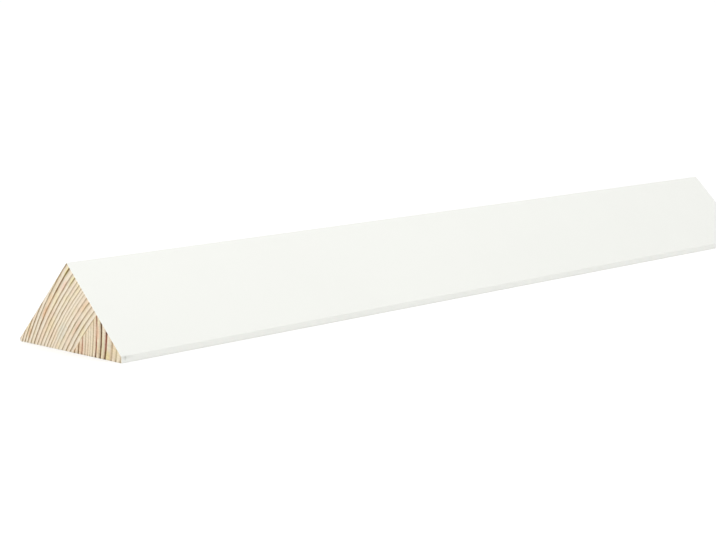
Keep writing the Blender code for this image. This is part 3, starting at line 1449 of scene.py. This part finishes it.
EDGE_GROWTH = Growth(
    pith_mm=(39.6, 10.5),
    first_line_mm=43.1,
    middle_angle=188.0,
    bands=(
        GrowthBand(1, 1.55, LatewoodTone.OCHRE, 1.1),
        GrowthBand(1, 1.5, LatewoodTone.BROWN, 1.15),
        GrowthBand(1, 1.25, LatewoodTone.SIENNA, 0.95),
        GrowthBand(1, 1.1, LatewoodTone.TAUPE, 0.7),
        GrowthBand(1, 0.9, LatewoodTone.STRAW, 0.6),
        GrowthBand(1, 1.05, LatewoodTone.STRAW, 0.6),
        GrowthBand(1, 1.35, LatewoodTone.TAUPE, 0.75),
        GrowthBand(1, 1.95, LatewoodTone.RED, 1.1),
        GrowthBand(1, 1.98, LatewoodTone.UMBER, 1.15, widening_mm=-3.5),
        GrowthBand(1, 2.5, LatewoodTone.RED, 1.3),
        GrowthBand(1, 1.8, LatewoodTone.TAUPE, 0.65),
        GrowthBand(2, 1.85, LatewoodTone.TAUPE, 0.65),
    ),
    seed=23.0,
)


MAIN_PINE = SawnPine(
    name="sawn_pine_main_stave",
    growth=MAIN_GROWTH,
    cream="#EADECA",
    base_darkening=0.2,
    fray=0.6,
    tints=(
        Tint((-0.3, 21.0), (3.4, 0.8), 132.0, "#E8DCA4"),
        Tint((-2.4, 18.7), (2.8, 1.0), 134.0, "#E8DFA8", 0.7),
        Tint((1.2, 17.0), (3.0, 0.9), 131.0, "#EBCCB8"),
        Tint((7.6, 13.0), (3.4, 0.8), 127.0, "#EACBA2", 0.7),
        Tint((10.2, 9.3), (3.6, 0.8), 124.0, "#E0B48C", 0.7),
        Tint((17.3, 2.8), (2.6, 0.8), 115.0, "#D9AC88", 0.7),
        Tint((3.2, 4.8), (5.0, 2.4), 122.0, "#DDDACB"),
        Tint((-7.2, 12.6), (3.0, 0.9), 139.0, "#EACDAA", 0.7),
        Tint((-3.4, 6.8), (5.0, 0.7), 131.0, "#E3BFA4", 0.6),
    ),
    stains=(
        Tint((-0.2, 20.3), (1.8, 0.8), 137.0, "#7A6C38", 0.8),
        Tint((8.0, 11.0), (7.0, 0.8), 129.5, "#A47C48", 0.7),
    ),
)

EDGE_PINE = SawnPine(
    name="sawn_pine_edge_stave",
    growth=EDGE_GROWTH,
    cream="#E7DAC2",
    rose="#E0C4AA",
    butter="#DFD2A4",
    tints=(
        Tint((-16.2, 1.2), (1.8, 1.6), 95.0, "#E2D29C", 0.7),
        Tint((-17.0, 3.6), (2.0, 1.0), 97.0, "#D9DAC2", 0.7),
        Tint((-12.5, 6.6), (2.8, 1.0), 92.0, "#E2BFA2", 0.7),
        Tint((-14.3, 4.0), (4.0, 0.9), 94.0, "#D9D2B0", 0.7),
        Tint((-12.2, 1.8), (2.0, 0.8), 88.0, "#DDBD92", 0.5),
        Tint((-4.6, 2.0), (3.0, 1.6), 86.0, "#E2C4A4", 0.6),
    ),
    stains=(
        Tint((-12.1, 6.6), (3.4, 0.7), 94.0, "#B98F6E", 0.75),
        Tint((-11.4, 0.9), (1.7, 0.6), 101.0, "#5E4026", 0.8),
        Tint((-14.0, 4.7), (2.2, 0.7), 96.0, "#6A3E1E", 0.8),
        Tint((-13.6, 2.0), (1.5, 0.7), 99.0, "#8A6844", 0.6),
        Tint((-16.3, 7.0), (1.1, 0.7), 94.0, "#4A2C20", 0.8),
        Tint((-15.4, 1.1), (2.4, 0.9), 99.0, "#6A5634", 0.95),
    ),
)


@dataclass
class Moulding:
    """The whole bar: two staves, the glue between them and the coat of paint."""

    section: Section
    thin_paint: float = 0.05 * MM  # how deep the wood lies inside the paint
    thick_paint: float = 0.11 * MM  # the same on the right leg
    glue_width: float = 0.12 * MM
    glue_recess: float = 0.17 * MM  # of the glue line's ends, a little deeper than the wood's
    glue_grid: tuple[int, int] = (2, 60)  # rows and columns
    cell: float = 0.15 * MM  # size of the sawn ends' grid
    column_density: float = 0.8  # columns fan in towards the corners, so they may start further apart
    least_margin: float = 0.005 * MM  # keeps the first row off the outline's edge, where it has no length
    greatest_margin: float = 0.02 * MM  # the same for the last row
    land_depth: float = 1.5 * MM  # past the left land, where the main stave's rows are longest
    past_edge: float = 0.02 * MM  # so that the row that is measured lies inside the piece

    def build(self) -> Iterable[tuple[bpy.types.Object, str, tuple[str, ...]]]:
        """Builds the pieces one after the other.

        Returns:
            For each piece, its object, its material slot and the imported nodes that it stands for.
        """
        least, greatest = self.wood.depth_limits()
        above, below = (self.section.joint_depth + side * self.glue_width / 2 for side in (-1, 1))
        main = self.stave("main_stave_wood", MAIN_PINE, (least + self.least_margin, above))
        yield main, "sawn_pine", ("main_stave",)
        edge = self.stave("edge_stave_wood", EDGE_PINE, (below, greatest - self.greatest_margin))
        yield edge, "sawn_pine", ("edge_stave",)
        yield self.glue_line((above, below)), "sawn_pine", ()
        yield PaintCoat(self.section).build(), "white_paint", ()

    @property
    def wood(self) -> Section:
        """The section of the wood inside the paint."""
        return self.section.inset(self.thin_paint, self.thick_paint)

    def stave(self, name: str, finish: SawnPine, depths: tuple[float, float]) -> bpy.types.Object:
        """Builds one stave and gives it its finish.

        Args:
            name: Name of the piece.
            finish: Its wood, with the year rings.
            depths: The depths between which it lies.

        Returns:
            The stave.
        """
        least, greatest = self.wood.chord(max(depths[0], self.land_depth) + self.past_edge)
        piece = Stave(
            name=name,
            section=self.wood,
            depths=depths,
            rows=math.ceil((depths[1] - depths[0]) / self.cell),
            columns=math.ceil(self.column_density * (greatest - least) / self.cell),
            growth=finish.growth,
        ).build()
        piece.data.materials.append(finish.material(self.section.half_length))
        return piece

    def glue_line(self, depths: tuple[float, float]) -> bpy.types.Object:
        """Builds the film of glue in the joint.

        Args:
            depths: The depths between which it lies.

        Returns:
            The glue line.
        """
        film = SectionSlice("glue_line", self.wood, depths, *self.glue_grid, end_recess=self.glue_recess)
        piece = film.build()
        piece.data.materials.append(DRIED_GLUE.material())
        return piece


def write_sizes() -> None:
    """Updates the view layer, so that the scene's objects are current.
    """
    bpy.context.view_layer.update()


def main() -> None:
    """Builds the bar and its studio, and reports each piece."""
    logging.basicConfig(level=logging.INFO, format="%(message)s")
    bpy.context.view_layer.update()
    section = Section.from_frame()
    for piece, slot, nodes in Moulding(section).build():
        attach(piece, "root")
        if nodes:
            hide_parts(*nodes)
        REPORT.info("%s: %d faces, finish %s", piece.name, len(piece.data.polygons), slot)
    Studio(LightTable()).build()
    write_sizes()


if __name__ == "__main__":
    main()
